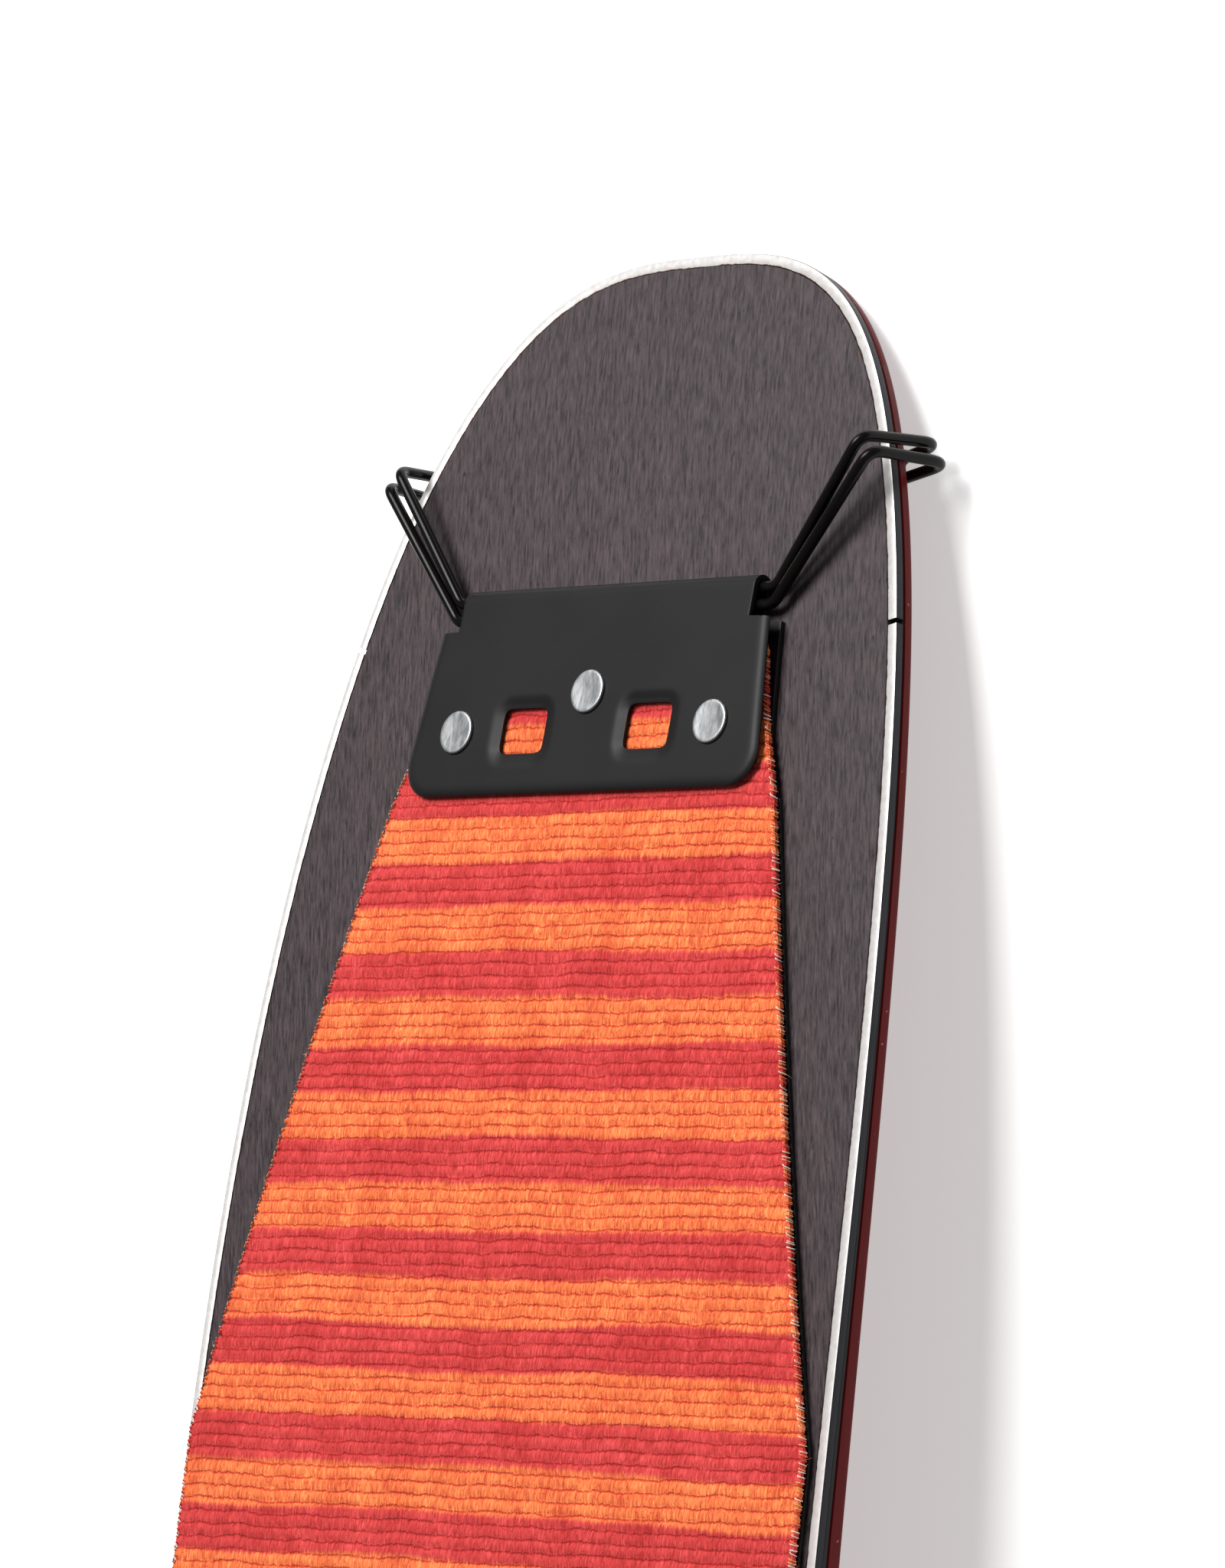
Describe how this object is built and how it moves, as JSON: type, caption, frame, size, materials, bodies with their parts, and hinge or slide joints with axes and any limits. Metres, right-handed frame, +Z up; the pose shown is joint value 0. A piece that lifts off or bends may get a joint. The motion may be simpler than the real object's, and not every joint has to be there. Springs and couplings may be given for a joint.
{
  "type": "splitboard half with climbing skin",
  "caption": "Ski-shaped half of a splitboard with a striped climbing skin held by a riveted tip plate, sprung wire loops and a tail strap.",
  "frame": {"origin": "on the floor under the middle of the plank, which lies with its running base up", "axes": "+Y to the nose, +Z up out of the running base, +X to the curved outer side; the straight inner side is at -X"},
  "size_m": [0.154, 1.6327, 0.0482],
  "materials": {
    "base": "stone-ground black sintered base with fine lengthwise structure",
    "edge_steel": "bright ground running face, dark outer side",
    "sidewall": "sanded black sidewall",
    "topsheet": "dark red lacquered topsheet",
    "laminate": "glass fibre in resin",
    "core_wood": "bare laminated wood strips",
    "black_plastic": "moulded black plastic",
    "plush": "woven plush in orange and red cross stripes",
    "skin_glue": "black glue on canvas",
    "black_metal": "matt black coated sheet",
    "black_wire": "satin black coated spring wire",
    "aluminium": "satin",
    "steel": "satin stainless",
    "webbing": "black woven webbing"
  },
  "bodies": {
    "plank": {"base_sheet": "base", "bracket_screw_1": "steel", "bracket_screw_2": "steel", "bracket_screw_3": "steel", "bracket_screw_4": "steel", "cam_pin": "steel", "front_clip_stud": "steel", "front_puck": "black_plastic", "front_puck_screw_1": "steel", "front_puck_screw_2": "steel", "front_puck_screw_3": "steel", "heel_rest": "black_plastic", "heel_screw_1": "steel", "heel_screw_2": "steel", "inner_edge": "edge_steel", "inner_sidewall": "sidewall", "left_rivet": "aluminium", "left_tail_rivet": "aluminium", "lower_laminate": "laminate", "middle_rivet": "aluminium", "nose_block": "black_plastic", "nose_clip_stud": "steel", "nose_edge": "edge_steel", "outer_edge": "edge_steel", "outer_sidewall": "sidewall", "rear_clip_stud": "steel", "rear_puck": "black_plastic", "rear_puck_screw_1": "steel", "rear_puck_screw_2": "steel", "rear_puck_screw_3": "steel", "right_rivet": "aluminium", "right_tail_rivet": "aluminium", "skin_backing": "skin_glue", "skin_plush": "plush", "tail_block": "black_plastic", "tail_buckle": "aluminium", "tail_clip_stud": "steel", "tip_plate": "black_metal", "topsheet": "topsheet", "touring_bracket": "aluminium", "upper_laminate": "laminate", "wood_core": "core_wood"},
    "left_wire_loop": {"left_wire_loop": "black_wire"},
    "right_wire_loop": {"right_wire_loop": "black_wire"},
    "touring_pin": {"touring_pin": "steel"},
    "riser_wire": {"riser_wire": "steel"},
    "nose_clip": {"nose_clip": "steel"},
    "front_clip": {"front_clip": "steel"},
    "rear_clip": {"rear_clip": "steel"},
    "tail_clip": {"tail_clip": "steel"},
    "cam_lever": {"cam_lever": "black_metal"},
    "tail_hook": {"tail_strap": "webbing", "tail_hook": "steel"}
  },
  "joints": [
    {"name": "left_loop_slide", "type": "slide", "parent": "plank", "child": "left_wire_loop", "axis": [-1, 0, 0], "range_m": [0, 0.014]},
    {"name": "right_loop_slide", "type": "slide", "parent": "plank", "child": "right_wire_loop", "axis": [1, 0, 0], "range_m": [0, 0.014]},
    {"name": "touring_pin_slide", "type": "slide", "parent": "plank", "child": "touring_pin", "axis": [1, 0, 0], "range_m": [0, 0.08]},
    {"name": "riser_wire_hinge", "type": "hinge", "parent": "plank", "child": "riser_wire", "pos_m": [-0.00733, -0.19618, 0.02826], "axis": [-1, 0, 0], "range_deg": [0, 100]},
    {"name": "nose_clip_hinge", "type": "hinge", "parent": "plank", "child": "nose_clip", "pos_m": [-0.06104, 0.66819, 0.02429], "axis": [0, -0.1312, -0.9914], "range_deg": [0, 95]},
    {"name": "front_clip_hinge", "type": "hinge", "parent": "plank", "child": "front_clip", "pos_m": [-0.063, 0.37482, 0.03436], "axis": [0, 0, -1], "range_deg": [0, 95]},
    {"name": "rear_clip_hinge", "type": "hinge", "parent": "plank", "child": "rear_clip", "pos_m": [-0.063, -0.39518, 0.03436], "axis": [0, 0, -1], "range_deg": [0, 95]},
    {"name": "tail_clip_hinge", "type": "hinge", "parent": "plank", "child": "tail_clip", "pos_m": [-0.06286, -0.68339, 0.02524], "axis": [0, 0.15, -0.9887], "range_deg": [0, 95]},
    {"name": "cam_lever_hinge", "type": "hinge", "parent": "plank", "child": "cam_lever", "pos_m": [0, -0.76818, 0.02658], "axis": [-1, 0, 0], "range_deg": [0, 100]},
    {"name": "tail_hook_slide", "type": "slide", "parent": "plank", "child": "tail_hook", "axis": [0, -0.9745, -0.2243], "range_m": [0, 0.012]}
  ]
}
